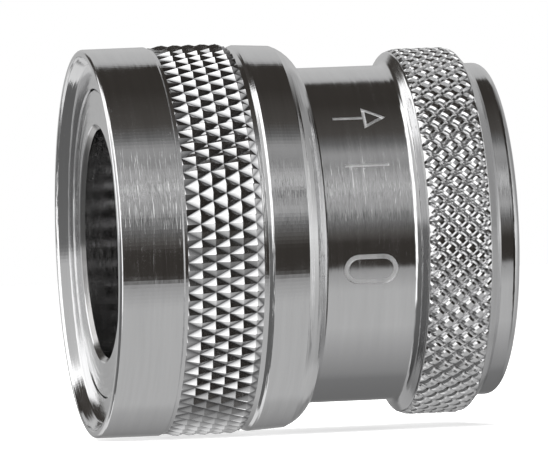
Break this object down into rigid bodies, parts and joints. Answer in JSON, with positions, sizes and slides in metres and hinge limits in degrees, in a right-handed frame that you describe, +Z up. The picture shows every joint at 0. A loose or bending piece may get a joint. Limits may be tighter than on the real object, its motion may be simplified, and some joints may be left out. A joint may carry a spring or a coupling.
{
  "type": "quick-release hose coupling",
  "caption": "Round quick-release hose coupling, socket half, with a knurled pull-back sleeve, a ring of locking balls and an inside pipe thread.",
  "frame": {"origin": "on the axis at the mouth of the pipe thread, where its lead-in chamfer ends", "axes": "+X along the axis and out of the pipe thread, so the mouth for the nipple faces -X; +Z up as the coupling lies"},
  "size_m": [0.042, 0.0404, 0.0404],
  "materials": {
    "chrome_plate": "polished plating with fine turning lines",
    "ball_steel": "ground and polished",
    "spring_steel": "drawn wire",
    "washer_brass": "turned",
    "black_rubber": "moulded"
  },
  "bodies": {
    "body": {"front_body": "chrome_plate", "rear_socket": "chrome_plate", "nipple_seal": "black_rubber", "seal_washer": "washer_brass", "body_o_ring": "black_rubber", "pipe_gasket": "black_rubber"},
    "spring": {"coil_spring": "spring_steel"},
    "sleeve": {"release_sleeve": "chrome_plate"},
    "ball_1": {"ball_1": "ball_steel"},
    "ball_2": {"ball_2": "ball_steel"},
    "ball_3": {"ball_3": "ball_steel"},
    "ball_4": {"ball_4": "ball_steel"},
    "ball_5": {"ball_5": "ball_steel"},
    "ball_6": {"ball_6": "ball_steel"},
    "ball_7": {"ball_7": "ball_steel"},
    "ball_8": {"ball_8": "ball_steel"},
    "ball_9": {"ball_9": "ball_steel"},
    "ball_10": {"ball_10": "ball_steel"},
    "ball_11": {"ball_11": "ball_steel"},
    "ball_12": {"ball_12": "ball_steel"}
  },
  "joints": [
    {"name": "sleeve_spin", "type": "hinge", "parent": "body", "child": "spring", "pos_m": [-0.0187, 0, 0], "axis": [1, 0, 0], "continuous": true},
    {"name": "sleeve_slide", "type": "slide", "parent": "spring", "child": "sleeve", "axis": [1, 0, 0], "range_m": [0, 0.0036], "stiffness_N_per_m": 430, "springref_m": -0.009, "deforming": ["coil_spring"]},
    {"name": "ball_1_slide", "type": "slide", "parent": "body", "child": "ball_1", "axis": [0, 1, 0], "range_m": [0, 0.0009]},
    {"name": "ball_2_slide", "type": "slide", "parent": "body", "child": "ball_2", "axis": [0, 0.866, 0.5], "range_m": [0, 0.0009]},
    {"name": "ball_3_slide", "type": "slide", "parent": "body", "child": "ball_3", "axis": [0, 0.5, 0.866], "range_m": [0, 0.0009]},
    {"name": "ball_4_slide", "type": "slide", "parent": "body", "child": "ball_4", "axis": [0, 0, 1], "range_m": [0, 0.0009]},
    {"name": "ball_5_slide", "type": "slide", "parent": "body", "child": "ball_5", "axis": [0, -0.5, 0.866], "range_m": [0, 0.0009]},
    {"name": "ball_6_slide", "type": "slide", "parent": "body", "child": "ball_6", "axis": [0, -0.866, 0.5], "range_m": [0, 0.0009]},
    {"name": "ball_7_slide", "type": "slide", "parent": "body", "child": "ball_7", "axis": [0, -1, 0], "range_m": [0, 0.0009]},
    {"name": "ball_8_slide", "type": "slide", "parent": "body", "child": "ball_8", "axis": [0, -0.866, -0.5], "range_m": [0, 0.0009]},
    {"name": "ball_9_slide", "type": "slide", "parent": "body", "child": "ball_9", "axis": [0, -0.5, -0.866], "range_m": [0, 0.0009]},
    {"name": "ball_10_slide", "type": "slide", "parent": "body", "child": "ball_10", "axis": [0, 0, -1], "range_m": [0, 0.0009]},
    {"name": "ball_11_slide", "type": "slide", "parent": "body", "child": "ball_11", "axis": [0, 0.5, -0.866], "range_m": [0, 0.0009]},
    {"name": "ball_12_slide", "type": "slide", "parent": "body", "child": "ball_12", "axis": [0, 0.866, -0.5], "range_m": [0, 0.0009]}
  ],
  "couplings": [
    {"joint": "ball_1_slide", "follows": "sleeve_slide", "ratio": 0.25},
    {"joint": "ball_2_slide", "follows": "sleeve_slide", "ratio": 0.25},
    {"joint": "ball_3_slide", "follows": "sleeve_slide", "ratio": 0.25},
    {"joint": "ball_4_slide", "follows": "sleeve_slide", "ratio": 0.25},
    {"joint": "ball_5_slide", "follows": "sleeve_slide", "ratio": 0.25},
    {"joint": "ball_6_slide", "follows": "sleeve_slide", "ratio": 0.25},
    {"joint": "ball_7_slide", "follows": "sleeve_slide", "ratio": 0.25},
    {"joint": "ball_8_slide", "follows": "sleeve_slide", "ratio": 0.25},
    {"joint": "ball_9_slide", "follows": "sleeve_slide", "ratio": 0.25},
    {"joint": "ball_10_slide", "follows": "sleeve_slide", "ratio": 0.25},
    {"joint": "ball_11_slide", "follows": "sleeve_slide", "ratio": 0.25},
    {"joint": "ball_12_slide", "follows": "sleeve_slide", "ratio": 0.25}
  ]
}
